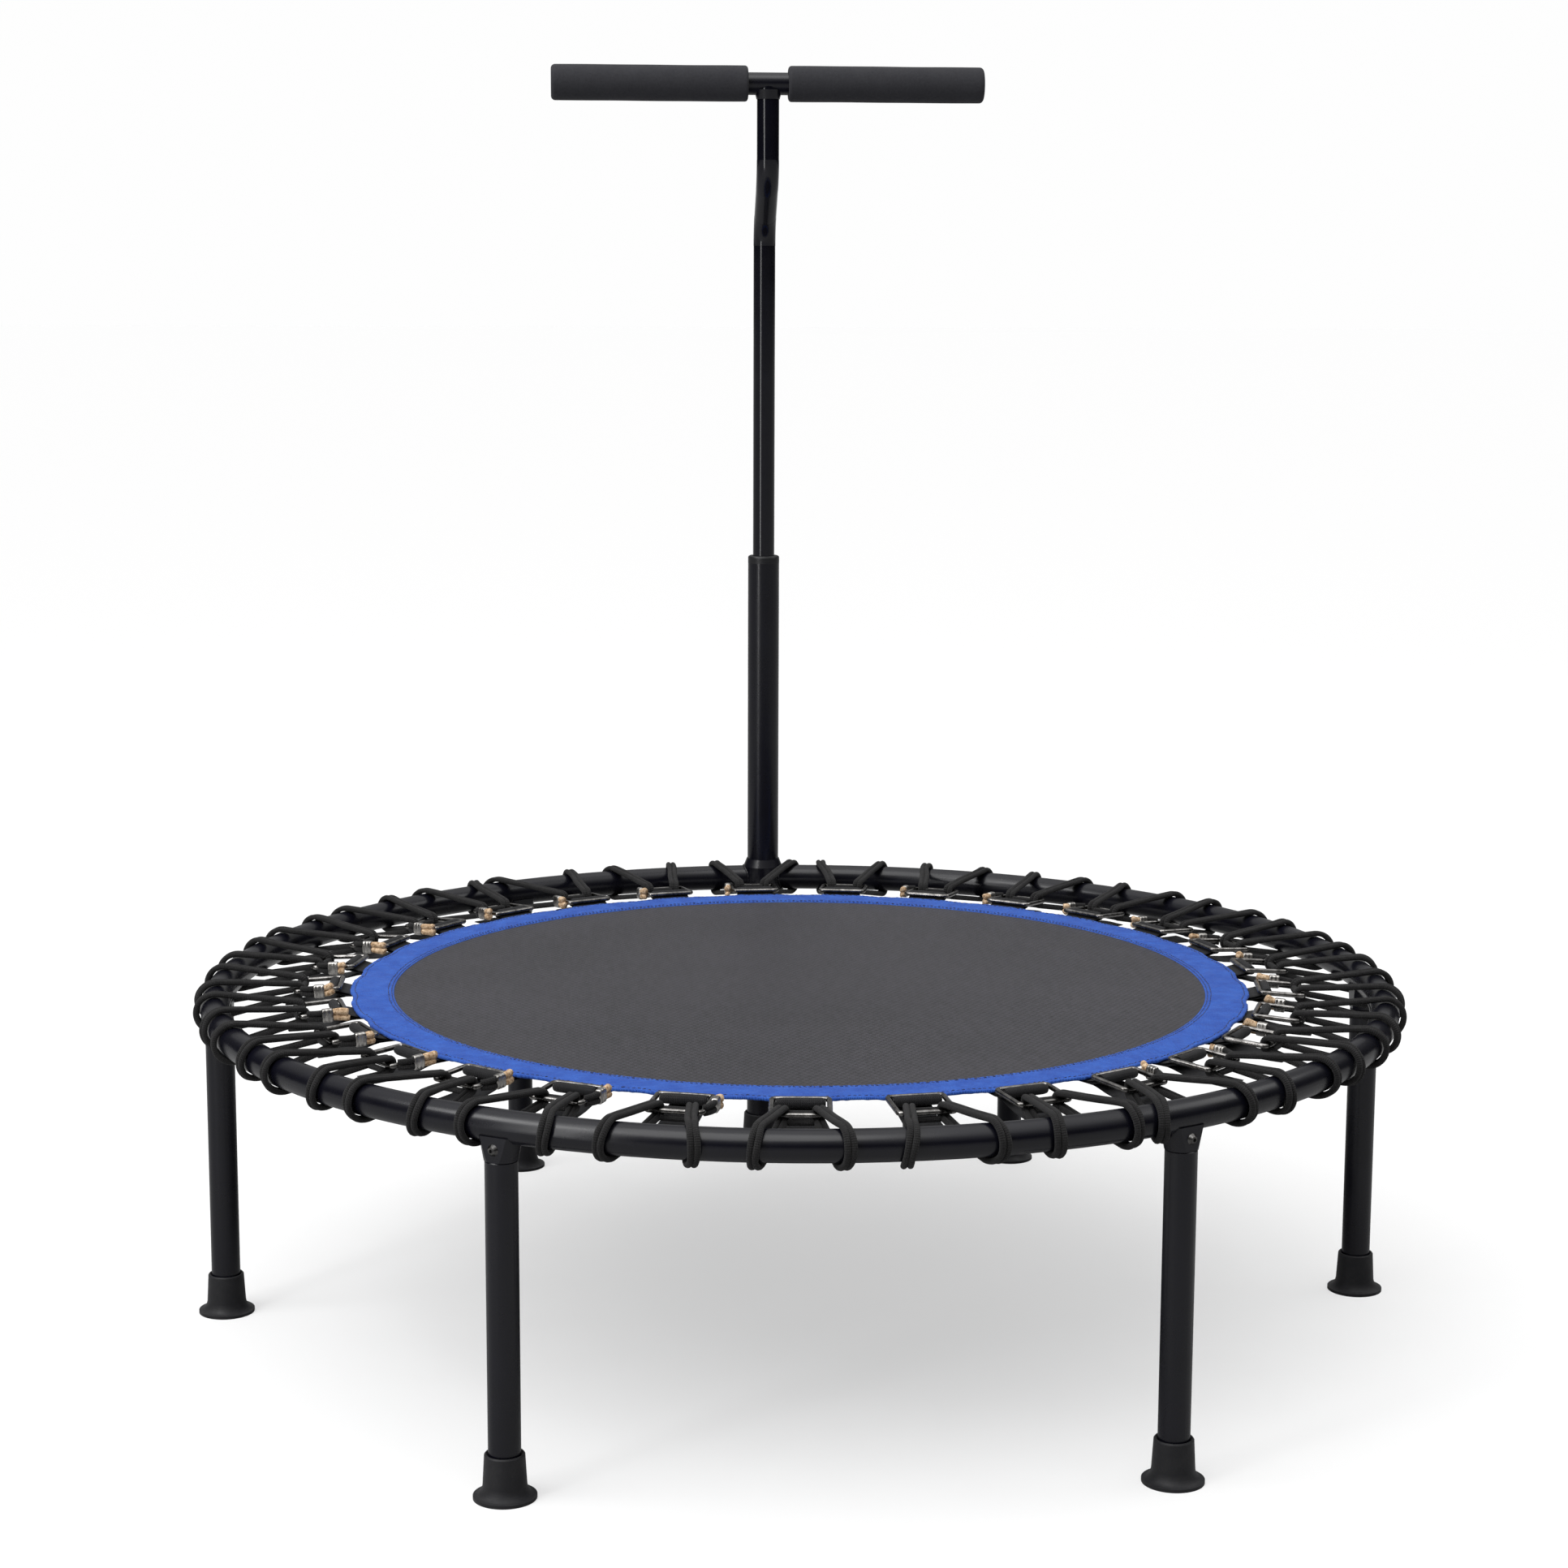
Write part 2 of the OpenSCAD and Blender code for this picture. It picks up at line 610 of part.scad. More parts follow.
frame_ring();
leg_saddles();
leg_studs();
lock_screws();
leg_inserts();
leg_1();
leg_2();
leg_3();
leg_4();
leg_5();
leg_6();
foot_1();
foot_2();
foot_3();
foot_4();
foot_5();
foot_6();
post_sleeve();
sleeve_screw();
post_tube();
post_foot();
post_bushing();
upright_tube();
cross_bar();
bar_weld();
bar_plugs();
grip_left();
grip_right();
upright_plug();
button_spring();
snap_button();
mat_fabric();
mat_border();
hem_stitching();
tabs();
tab_rods();
links();
cord_crimps();
cord_ends();
cords_1();
cords_2();
cords_3();
cords_4();
cords_5();
cords_6();
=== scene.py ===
import math
import random

import bpy
import numpy as np
from mathutils import Matrix, Vector


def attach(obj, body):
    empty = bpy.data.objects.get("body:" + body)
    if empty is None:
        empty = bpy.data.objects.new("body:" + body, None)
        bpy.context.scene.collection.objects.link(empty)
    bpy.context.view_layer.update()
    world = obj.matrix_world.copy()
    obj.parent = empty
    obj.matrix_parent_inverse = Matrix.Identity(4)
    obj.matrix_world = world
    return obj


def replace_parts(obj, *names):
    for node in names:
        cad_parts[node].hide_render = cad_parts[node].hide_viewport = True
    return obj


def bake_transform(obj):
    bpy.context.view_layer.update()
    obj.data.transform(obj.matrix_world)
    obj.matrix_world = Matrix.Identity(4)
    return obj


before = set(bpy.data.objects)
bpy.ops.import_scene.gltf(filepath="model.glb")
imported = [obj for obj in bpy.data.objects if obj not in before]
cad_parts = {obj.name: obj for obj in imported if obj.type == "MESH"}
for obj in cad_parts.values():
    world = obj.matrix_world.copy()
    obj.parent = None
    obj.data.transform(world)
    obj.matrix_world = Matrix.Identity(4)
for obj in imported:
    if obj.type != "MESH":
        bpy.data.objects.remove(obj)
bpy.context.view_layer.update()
random.seed(29)
MM = 0.001
TAU = 2 * math.pi

# ---------------------------------------------------------------- camera
CAM_AT = Vector((-0.20271, -2.63837, 0.90153))
CAM_RIGHT = Vector((0.997499, -0.070611, 0.003730))
CAM_UP = Vector((0.007710, 0.161134, 0.986901))
CAM_BACK = Vector((-0.070292, -0.984406, 0.161276))
cam = bpy.data.cameras.new("camera")
cam.lens = 70.47
cam.sensor_width = 36
cam.clip_end = 200
camera = bpy.data.objects.new("camera", cam)
bpy.context.scene.collection.objects.link(camera)
cam_axes = Matrix((CAM_RIGHT, CAM_UP, CAM_BACK)).transposed()
camera.matrix_world = Matrix.Translation(CAM_AT) @ cam_axes.to_4x4()
bpy.context.scene.camera = camera

# ---------------------------------------------------------------- sizes shared with the CAD, metres
RING_R = 507.5 * MM
TUBE_R = 12.5 * MM
RING_Z = 288 * MM
MAT_Z = 291 * MM
OUTER_WIRE_R = 440 * MM
LINK_Z = 292 * MM
LINK_TILT = math.radians(3.77)
UNITS = 29
UNIT_START = 92
UNIT_STEP = 360 / UNITS
WRAP_SPREAD = 6.9
CORD_R = 2.6 * MM
STRAND_OFF = 2.75 * MM
DRAWN_R, DRAWN_OFF = 2.45 * MM, 2.3 * MM
SEAT_T = 12.8 * MM  # half the spacing of the two seats on a link's outer wire
SEAT_SHIFT = 1.6 * MM
BELT_SMALL = 5.4 * MM  # radius of a cord's turn round that wire
LEG_ZONE = 2.56
POST_ZONE = 3.23
LEG_ANGLES = [0, 60, 120, 180, 240, 300]
BARE_UNITS = {14, 15, 16, 28}


def polar(r, degrees, z=0.0):
    a = math.radians(degrees)
    return np.array([r * math.cos(a), r * math.sin(a), z])


def unit_angle(k):
    return UNIT_START + k * UNIT_STEP


def beside(a, centre, zone):
    turn = (a - centre + 540) % 360 - 180
    if abs(turn) >= zone:
        return a
    return a - turn + (-zone if turn < 0 else zone)


def wrap_angle(k, side):
    a = unit_angle(k) + side * WRAP_SPREAD / 2
    for leg in LEG_ANGLES:
        a = beside(a, leg, LEG_ZONE)
    return beside(a, 90, POST_ZONE)


def link_point(k, x, t, z):
    """A point given in the frame of link k: x outward from its outer wire, t anticlockwise, z up."""
    r = OUTER_WIRE_R + x * math.cos(LINK_TILT) + z * math.sin(LINK_TILT)
    up = LINK_Z - x * math.sin(LINK_TILT) + z * math.cos(LINK_TILT)
    return polar(r, unit_angle(k), up) + polar(t, unit_angle(k) + 90)


# ---------------------------------------------------------------- mesh helpers
def piece(name, verts, faces, material, uvs=None):
    mesh = bpy.data.meshes.new(name)
    mesh.from_pydata([tuple(v) for v in verts], [], faces)
    if uvs is not None:
        layer = mesh.uv_layers.new(name="weave")
        layer.data.foreach_set("uv", np.asarray(uvs, np.float32).ravel())
    mesh.polygons.foreach_set("use_smooth", [True] * len(mesh.polygons))
    mesh.update()
    mesh.materials.append(material)
    obj = bpy.data.objects.new(name, mesh)
    bpy.context.scene.collection.objects.link(obj)
    return obj


class Builder:
    """Collects lofted strips and tubes into one mesh, with a (length, turn) UV map."""

    def __init__(self):
        self.verts, self.faces, self.uvs = [], [], []

    def loft(self, rings, closed_path=False, caps=False):
        rings = [np.asarray(r) for r in rings]
        n, m, base = len(rings), len(rings[0]), len(self.verts)
        centres = [r.mean(0) for r in rings]
        along = [0.0]
        for a, b in zip(centres, centres[1:] + centres[:1]):
            along.append(along[-1] + float(np.linalg.norm(b - a)))
        for r in rings:
            self.verts.extend(r)
        for i in range(n if closed_path else n - 1):
            j = (i + 1) % n
            for p in range(m):
                q = (p + 1) % m
                self.faces.append((base + i * m + p, base + i * m + q, base + j * m + q, base + j * m + p))
                u0, u1, v0, v1 = along[i], along[i + 1], p / m, (p + 1) / m
                self.uvs.extend([(u0, v0), (u0, v1), (u1, v1), (u1, v0)])
        if caps:
            for i, order in ((0, -1), (n - 1, 1)):
                face = [base + i * m + p for p in range(m)][::order]
                self.faces.append(tuple(face))
                self.uvs.extend([(along[i], 0.5)] * m)

    def tube(self, path, radius, sides=12, closed=False, side_dir=(0, 0, 1), flat=(1, 1)):
        """Sweeps a round or flattened section along a path; side_dir is the direction of its first axis."""
        path = np.asarray(path)
        if closed:
            tangent = np.roll(path, -1, 0) - np.roll(path, 1, 0)
        else:
            tangent = np.gradient(path, axis=0)
        tangent /= np.linalg.norm(tangent, axis=1)[:, None]
        radius = np.broadcast_to(np.asarray(radius, float), (len(path),))
        side = np.asarray(side_dir, float)
        turn = np.linspace(0, TAU, sides, endpoint=False)
        rings = []
        for p, t, r in zip(path, tangent, radius):
            a = side - t * side.dot(t)
            a /= np.linalg.norm(a)
            b = np.cross(t, a)
            rings.append(p + r * (flat[0] * np.cos(turn)[:, None] * a + flat[1] * np.sin(turn)[:, None] * b))
        self.loft(rings, closed_path=closed, caps=not closed)

    def make(self, name, material, slot):
        return piece(name, self.verts, self.faces, material, self.uvs)


# ---------------------------------------------------------------- materials
class Shader:
    """A Principled material built node by node; every pattern lies in object space or on the weave UV map."""

    def __init__(self, name, colour, roughness, metallic=0.0, specular=0.5, sheen=0.0):
        self.material = bpy.data.materials.new(name)
        self.material.use_nodes = True
        self.nodes = self.material.node_tree.nodes
        self.links = self.material.node_tree.links
        self.bsdf = self.nodes["Principled BSDF"]
        self.set("Base Color", (*colour, 1))
        self.set("Roughness", roughness)
        self.set("Metallic", metallic)
        self.set("Specular IOR Level", specular)
        self.set("Sheen Weight", sheen)
        self.coords = None
        self.height = None

    def set(self, socket, value):
        self.bsdf.inputs[socket].default_value = value

    def where(self):
        if self.coords is None:
            self.coords = self.nodes.new("ShaderNodeTexCoord").outputs["Object"]
        return self.coords

    def weave_uv(self):
        node = self.nodes.new("ShaderNodeUVMap")
        node.uv_map = "weave"
        return node.outputs["UV"]

    def math(self, operation, a, b=None):
        node = self.nodes.new("ShaderNodeMath")
        node.operation = operation
        for socket, value in zip(node.inputs, (a, b)):
            if value is None:
                continue
            if isinstance(value, (int, float)):
                socket.default_value = value
            else:
                self.links.new(value, socket)
        return node.outputs[0]

    def noise(self, scale, detail=3.0, rough=0.55, stretch=None):
        vector = self.where()
        if stretch is not None:
            mapping = self.nodes.new("ShaderNodeMapping")
            mapping.inputs["Scale"].default_value = stretch
            self.links.new(vector, mapping.inputs["Vector"])
            vector = mapping.outputs["Vector"]
        node = self.nodes.new("ShaderNodeTexNoise")
        node.inputs["Scale"].default_value = scale
        node.inputs["Detail"].default_value = detail
        node.inputs["Roughness"].default_value = rough
        self.links.new(vector, node.inputs["Vector"])
        return node.outputs["Fac"]

    def spread(self, value, low, high, to_low, to_high):
        node = self.nodes.new("ShaderNodeMapRange")
        node.inputs["From Min"].default_value = low
        node.inputs["From Max"].default_value = high
        node.inputs["To Min"].default_value = to_low
        node.inputs["To Max"].default_value = to_high
        self.links.new(value, node.inputs["Value"])
        return node.outputs["Result"]

    def colours(self, factor, first, second):
        """Mixes from the first colour to the second by factor."""
        node = self.nodes.new("ShaderNodeMix")
        node.data_type = "RGBA"
        node.inputs[6].default_value = (*first, 1)
        node.inputs[7].default_value = (*second, 1)
        self.links.new(factor, node.inputs[0])
        return node.outputs[2]

    def paint(self, colour):
        self.links.new(colour, self.bsdf.inputs["Base Color"])

    def gloss(self, value):
        self.links.new(value, self.bsdf.inputs["Roughness"])

    def bump(self, height, distance, strength=1.0):
        node = self.nodes.new("ShaderNodeBump")
        node.inputs["Strength"].default_value = strength
        node.inputs["Distance"].default_value = distance
        self.links.new(height, node.inputs["Height"])
        if self.height is not None:
            self.links.new(self.height, node.inputs["Normal"])
        self.height = node.outputs["Normal"]
        self.links.new(self.height, self.bsdf.inputs["Normal"])

    def waves(self, vector, axis, per_metre):
        """A sine in -1..1 along one coordinate of a vector."""
        split = self.nodes.new("ShaderNodeSeparateXYZ")
        self.links.new(vector, split.inputs[0])
        return self.math("SINE", self.math("MULTIPLY", split.outputs[axis], TAU * per_metre))


def powder_coat(name, rough, grain):
    """Black paint with a faint orange peel; grain is its depth."""
    s = Shader(name, (0.006, 0.006, 0.009), rough, specular=0.42)
    s.paint(s.colours(s.noise(38, 4), (0.002, 0.002, 0.004), (0.004, 0.004, 0.009)))
    s.gloss(s.spread(s.noise(22, 5), 0.3, 0.7, rough - 0.04, rough + 0.05))
    s.bump(s.noise(900, 2), 0.00012, grain)
    s.bump(s.noise(140, 2), 0.0003, grain * 0.4)
    return s.material


def rubber():
    s = Shader("foot_rubber", (0.02, 0.02, 0.022), 0.62, specular=0.35, sheen=0.08)
    dust = s.spread(s.noise(60, 6, 0.7), 0.5, 0.8, 0, 0.6)
    s.paint(s.colours(dust, (0.008, 0.008, 0.010), (0.022, 0.021, 0.022)))
    s.gloss(s.spread(s.noise(90, 4), 0.3, 0.7, 0.5, 0.72))
    s.bump(s.noise(650, 3), 0.0002, 0.5)
    return s.material


def plastic():
    s = Shader("moulded_plastic", (0.015, 0.015, 0.016), 0.42, specular=0.45)
    s.paint(s.colours(s.noise(70, 3), (0.006, 0.006, 0.007), (0.012, 0.012, 0.014)))
    s.gloss(s.spread(s.noise(120, 4), 0.3, 0.7, 0.34, 0.5))
    s.bump(s.noise(1500, 2), 0.0001, 0.4)
    return s.material


def foam():
    s = Shader("grip_foam", (0.022, 0.022, 0.025), 0.88, specular=0.2, sheen=0.05)
    s.paint(s.colours(s.noise(420, 4, 0.7), (0.022, 0.022, 0.026), (0.048, 0.048, 0.054)))
    s.gloss(s.spread(s.noise(55, 3), 0.3, 0.7, 0.8, 0.95))
    s.bump(s.noise(1700, 4, 0.7), 0.0005, 0.6)
    s.bump(s.noise(120, 2), 0.0008, 0.15)
    return s.material


def metal(name, colour, rough, dark):
    s = Shader(name, colour, rough, metallic=1.0)
    tone = s.spread(s.noise(160, 5, 0.65), 0.35, 0.7, 0, 1)
    s.paint(s.colours(tone, colour, dark))
    s.gloss(s.spread(s.noise(300, 4), 0.3, 0.7, rough - 0.08, rough + 0.12))
    s.bump(s.noise(1200, 2, stretch=(1, 1, 0.2)), 0.00012, 0.3)
    return s.material


def mat_weave():
    """Flat tape yarns crossing each other, with a fine twill run of tone over them and a slow mottling that
    is partly the cloth's own uneven tone and partly painted reflection.
    """
    s = Shader("mat_weave", (0.05, 0.048, 0.055), 0.45, specular=0.45, sheen=0.03)
    pitch = 1000 / 2.1
    warp = s.waves(s.where(), 0, pitch)
    weft = s.waves(s.where(), 1, pitch)
    cross = s.math("MULTIPLY", warp, weft)
    twill = s.waves(s.where(), 0, 1000 / 6.1)
    twill = s.math("MULTIPLY", twill, s.waves(s.where(), 1, 1000 / 9.7))
    slub = s.math("ADD", s.noise(330, 2, stretch=(0.3, 1, 1)), s.noise(300, 3, stretch=(1, 0.14, 1)))
    shade = s.math("ADD", s.math("MULTIPLY", cross, 0.30), s.math("MULTIPLY", twill, 0.42))
    # painted reflection in part: this slow noise mottling stands in for the uneven sheen across the mat, on
    # top of a faint real mottling of the cloth
    shade = s.math("ADD", shade, s.math("MULTIPLY", s.noise(3.5, 2), 0.7))
    shade = s.math("ADD", shade, s.math("MULTIPLY", slub, 0.8))
    s.paint(s.colours(s.spread(shade, 0.55, 1.75, 0, 1), (0.005, 0.005, 0.007), (0.050, 0.047, 0.058)))
    s.gloss(s.spread(cross, -1, 1, 0.36, 0.52))
    s.bump(cross, 0.00035, 0.8)
    s.bump(s.noise(500, 3), 0.0002, 0.35)
    return s.material


def cloth(name, dark, light, pitch_mm, sheen=0.05, depth=0.00022):
    s = Shader(name, light, 0.72, specular=0.28, sheen=sheen)
    cross = s.math("MULTIPLY", s.waves(s.where(), 0, 1000 / pitch_mm), s.waves(s.where(), 1, 1000 / pitch_mm))
    tone = s.math("ADD", s.math("MULTIPLY", cross, 0.22), s.math("MULTIPLY", s.noise(70, 6, 0.7), 0.7))
    tone = s.math("ADD", tone, s.math("MULTIPLY", s.noise(700, 2), 0.35))
    s.paint(s.colours(s.spread(tone, 0.32, 0.78, 0, 1), dark, light))
    s.gloss(s.spread(s.noise(80, 3), 0.3, 0.7, 0.6, 0.8))
    s.bump(cross, depth, 0.7)
    s.bump(s.noise(1000, 3), 0.0002, 0.4)
    return s.material


def webbing():
    """Ribs along the strap and picks across it, on the weave UV map (u along, v across)."""
    s = Shader("webbing_weave", (0.008, 0.008, 0.01), 0.6, specular=0.3, sheen=0.05)
    uv = s.weave_uv()
    rib = s.waves(uv, 1, 56)
    pick = s.waves(uv, 0, 1000 / 1.7)
    knots = s.math("MULTIPLY", rib, pick)
    height = s.math("ADD", s.math("MULTIPLY", rib, 0.5), s.math("MULTIPLY", knots, 0.5))
    s.paint(s.colours(s.spread(height, -1, 1, 0, 1), (0.003, 0.003, 0.004), (0.014, 0.014, 0.016)))
    s.gloss(s.spread(s.noise(150, 3), 0.3, 0.7, 0.6, 0.8))
    s.bump(height, 0.0004, 0.8)
    return s.material


def braid():
    """The woven jacket of the elastic cord: two sets of yarns wound opposite ways."""
    s = Shader("cord_jacket", (0.008, 0.008, 0.008), 0.62, specular=0.3, sheen=0.06)
    uv = s.weave_uv()
    split = s.nodes.new("ShaderNodeSeparateXYZ")
    s.links.new(uv, split.inputs[0])
    along = s.math("MULTIPLY", split.outputs[0], TAU * 1000 / 3.2)
    around = s.math("MULTIPLY", split.outputs[1], TAU * 8)
    left = s.math("SINE", s.math("ADD", along, around))
    right = s.math("SINE", s.math("SUBTRACT", along, around))
    height = s.math("MULTIPLY", left, right)
    s.paint(s.colours(s.spread(height, -1, 1, 0, 1), (0.003, 0.003, 0.003), (0.012, 0.011, 0.012)))
    s.gloss(s.spread(s.noise(200, 3), 0.3, 0.7, 0.65, 0.85))
    s.bump(height, 0.00035, 0.8)
    s.bump(s.noise(260, 3), 0.0005, 0.35)
    return s.material


def latex():
    """Cut rubber threads: tan, with painted shade as darker streaks between the threads."""
    s = Shader("cord_core", (0.62, 0.44, 0.26), 0.6, specular=0.35)
    # painted shade: the darker streaks stand in for the shade in the gaps between the threads
    streak = s.noise(420, 4, 0.7)
    s.paint(s.colours(s.spread(streak, 0.38, 0.62, 0, 1), (0.30, 0.17, 0.08), (0.78, 0.58, 0.38)))
    s.gloss(s.spread(s.noise(300, 3), 0.3, 0.7, 0.5, 0.75))
    s.bump(s.noise(900, 4, 0.7), 0.0006, 0.8)
    return s.material


M_PAINT, M_GLOSS = powder_coat("powder_coat", 0.26, 0.12), powder_coat("gloss_paint", 0.13, 0.05)
M_RUBBER, M_PLASTIC, M_FOAM = rubber(), plastic(), foam()
M_ZINC = metal("zinc_plate", (0.55, 0.55, 0.56), 0.34, (0.30, 0.30, 0.31))
M_SCREW = metal("screw_steel", (0.16, 0.155, 0.15), 0.26, (0.04, 0.04, 0.04))
M_WIRE = metal("dark_nickel", (0.30, 0.29, 0.28), 0.2, (0.05, 0.048, 0.046))
M_CRIMP = metal("crimp_metal", (0.60, 0.58, 0.55), 0.3, (0.16, 0.155, 0.15))
M_MAT = mat_weave()
M_BLUE = cloth("border_cloth", (0.008, 0.046, 0.30), (0.036, 0.140, 0.56), 1.5)
M_NAVY = cloth("navy_thread", (0.006, 0.014, 0.07), (0.02, 0.04, 0.16), 0.7, sheen=0.2)
M_WEB, M_BRAID, M_LATEX = webbing(), braid(), latex()

CAD_FINISH = {
    "frame_ring": M_PAINT, "leg_saddles": M_PAINT, "leg_studs": M_ZINC, "lock_screws": M_SCREW,
    "leg_inserts": M_PLASTIC, "post_sleeve": M_PAINT, "sleeve_screw": M_SCREW, "post_tube": M_PAINT,
    "post_foot": M_RUBBER, "post_bushing": M_PLASTIC, "upright_tube": M_GLOSS, "cross_bar": M_PAINT,
    "bar_weld": M_PAINT, "bar_plugs": M_PLASTIC, "upright_plug": M_PLASTIC, "button_spring": M_ZINC,
    "snap_button": M_ZINC, "links": M_WIRE, "tab_rods": M_PLASTIC,
}
CAD_FINISH.update({f"leg_{j}": M_PAINT for j in range(1, 7)})
CAD_FINISH.update({f"foot_{j}": M_RUBBER for j in range(1, 7)})
for node, material in CAD_FINISH.items():
    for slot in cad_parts[node].material_slots:
        slot.material = material


# ---------------------------------------------------------------- elastic cords
def between(start, end):
    """Ten even points strictly between two points."""
    start, end = np.array(start), np.array(end)
    return [tuple(start + (end - start) * s) for s in np.linspace(0, 1, 12)[1:-1]]


def strand(k, side, lane, wander):
    """One closed turn of cord, round the ring tube and the link's outer wire."""
    a = unit_angle(k)
    seat = polar(OUTER_WIRE_R, a, LINK_Z) + polar(side * SEAT_T, a + 90)
    hub = polar(RING_R, wrap_angle(k, side), RING_Z)
    flat = hub[:2] - seat[:2]
    dist = float(np.linalg.norm(flat))
    out = np.array([*(flat / dist), 0.0])
    across = np.array([-out[1], out[0], 0.0])
    radial = polar(1, wrap_angle(k, side))
    skew = math.acos(min(1.0, float(out.dot(radial))))
    drop = seat[2] - hub[2]
    wide = (TUBE_R + DRAWN_R + DRAWN_OFF * math.sin(skew)) / math.cos(skew) + 0.0003
    tall = TUBE_R + CORD_R + 0.0003
    tilt, span = math.atan2(-drop, dist), math.hypot(dist, drop)
    lean = math.asin((wide - BELT_SMALL) / span)
    points = []
    for f in np.linspace(-math.pi / 2 - lean, math.pi / 2 + lean, 34):
        lift = wander["lift"] * (0.5 + 0.5 * math.sin(2 * f + wander["phase"] + lane))
        u = dist + (wide + lift) * math.cos(f + tilt)
        w = -drop + (tall + lift) * math.sin(f + tilt)
        points.append((u, w))
    low, high = points[0], points[-1]
    small = [
        (BELT_SMALL * math.cos(f + tilt), BELT_SMALL * math.sin(f + tilt))
        for f in np.linspace(math.pi / 2 + lean, 1.5 * math.pi - lean, 9)
    ]
    points += between(high, small[0]) + small + between(small[-1], low)
    path = []
    for i, (u, w) in enumerate(points):
        near_ring = min(1.0, max(0.0, (u - 0.35 * dist) / (0.5 * dist)))
        near_wire = max(0.0, 1 - max(u, 0) / (0.6 * dist))
        angle = math.atan2(w + drop, u - dist)
        sway = wander["sway"] * near_ring * math.sin(angle + wander["phase"])
        sway += 0.45 * wander["sway"] * near_ring * math.sin(2 * angle + 2.1 * wander["phase"])
        part = lane * (DRAWN_OFF + 0.00025 * near_ring * math.sin(3 * angle + wander["phase"]))
        sway += side * SEAT_SHIFT * near_wire
        path.append(seat + out * u + np.array([0, 0, w]) + across * (sway + part))
    return path, across


def bungee(k):
    b = Builder()
    a = unit_angle(k)
    for side in (-1, 1):
        turn = wrap_angle(k, side)
        crowded = min(abs((turn - x + 540) % 360 - 180) for x in [*LEG_ANGLES, 90]) < 3.6
        wander = {
            "phase": random.uniform(0, TAU),
            "sway": (0.3 if crowded else random.uniform(0.9, 2.0)) * MM,
            "lift": random.uniform(0.1, 0.7) * MM,
        }
        for lane in (-1, 1):
            path, across = strand(k, side, lane, wander)
            b.tube(path, DRAWN_R, closed=True, side_dir=across, flat=(1.04, 1.0))
    reach = SEAT_T - STRAND_OFF
    for inward, down in ((BELT_SMALL, 0), (0, BELT_SMALL)):
        line = [
            polar(OUTER_WIRE_R - inward, a, LINK_Z - down) + polar(t, a + 90)
            for t in np.linspace(-reach, reach, 9)
        ]
        b.tube(line, CORD_R * 0.98, side_dir=(0, 0, 1))
    obj = b.make(f"bungee_{k + 1:02d}", M_BRAID, "bungee")
    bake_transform(obj)
    return obj


for k in range(UNITS):
    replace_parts(bungee(k), f"cords_{1 + (6 * (k + 1) - 1) // UNITS}")

# ---------------------------------------------------------------- mat and its border
HEM_IN, HEM_OUT, HEM_T = 355 * MM, 393 * MM, 3.6 * MM
FABRIC_T = 1.5 * MM
WAVE_SETS = [(random.uniform(0, TAU), random.randint(60, 420), random.uniform(0.3, 1.0)) for _ in range(26)]
PUCKERS = [(random.uniform(0, TAU), random.randint(150, 520), random.uniform(0.3, 1.0)) for _ in range(18)]


def mix_waves(angle, r, sets, slant):
    total = sum(w for _, _, w in sets)
    value = sum(w * np.sin(n * (angle + slant * (r - HEM_IN)) + p) for p, n, w in sets)
    return value / total


def hem_edge(angle):
    """Outer radius of the hem: pulled out at each strap, bowed in between straps."""
    k = (np.degrees(angle) - UNIT_START) / UNIT_STEP
    off = np.abs((k + 0.5) % 1 - 0.5) * 2
    bow = np.clip((off - 0.45) / 0.55, 0, 1)
    return HEM_OUT - 0.0028 * np.sin(bow * math.pi / 2) ** 1.5 + 0.0002 * np.sin(29 * 7 * angle + 1)


def hem_top(angle, share):
    """Height of the hem's upper face over its middle plane; share runs from its inner to its outer edge."""
    r = HEM_IN + share * (HEM_OUT - HEM_IN)
    body = np.clip(np.minimum(share, 1 - share) * 9, 0, 1) ** 0.5
    base = HEM_T / 2 * (0.55 + 0.45 * body)
    fine = mix_waves(angle, r, WAVE_SETS, 3.0) * 0.0011
    pucker = mix_waves(angle, r, PUCKERS, -6.0) * 0.0009 * np.exp(-(((share - 0.13) / 0.1) ** 2))
    pull = mix_waves(angle, r, PUCKERS, 9.0) * 0.0010 * np.exp(-(((share - 0.88) / 0.12) ** 2))
    rows = sum(0.0005 * np.exp(-(((share - s) / 0.022) ** 2)) for s in (0.053, 0.132, 0.895))
    return base - rows + (fine + pucker + pull) * (0.25 + 0.75 * body)


def hem():
    count = UNITS * 72
    angles = np.linspace(0, TAU, count, endpoint=False) + math.radians(UNIT_START)
    inner = [0.0, 0.02, 0.05, 0.09, 0.13, 0.18, 0.24, 0.31, 0.39, 0.47]
    top = np.array(inner + [0.55, 0.63, 0.71, 0.78, 0.84, 0.89, 0.94, 0.975, 1.0])
    under = np.array([1.0, 0.97, 0.85, 0.65, 0.45, 0.25, 0.1, 0.0])
    edge = hem_edge(angles)
    rows = []
    for i, share in enumerate(top):
        r = HEM_IN + share * (edge - HEM_IN)
        z = MAT_Z + hem_top(angles, np.full(count, share))
        if i == 0:
            z = np.full(count, MAT_Z + FABRIC_T / 2 + 0.0001)
        rows.append(np.stack([r * np.cos(angles), r * np.sin(angles), z], 1))
    for i, share in enumerate(under):
        r = HEM_IN + share * (edge - HEM_IN)
        z = MAT_Z - np.minimum(hem_top(angles, np.full(count, share)), HEM_T / 2 + 0.0002)
        if i == len(under) - 1:
            z = np.full(count, MAT_Z - FABRIC_T / 2 - 0.0001)
        rows.append(np.stack([r * np.cos(angles), r * np.sin(angles), z], 1))
    b = Builder()
    b.loft(np.transpose(np.array(rows), (1, 0, 2)), closed_path=True)
    obj = b.make("mat_border_hem", M_BLUE, "blue_border")
    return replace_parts(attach(obj, "mat"), "mat_border")


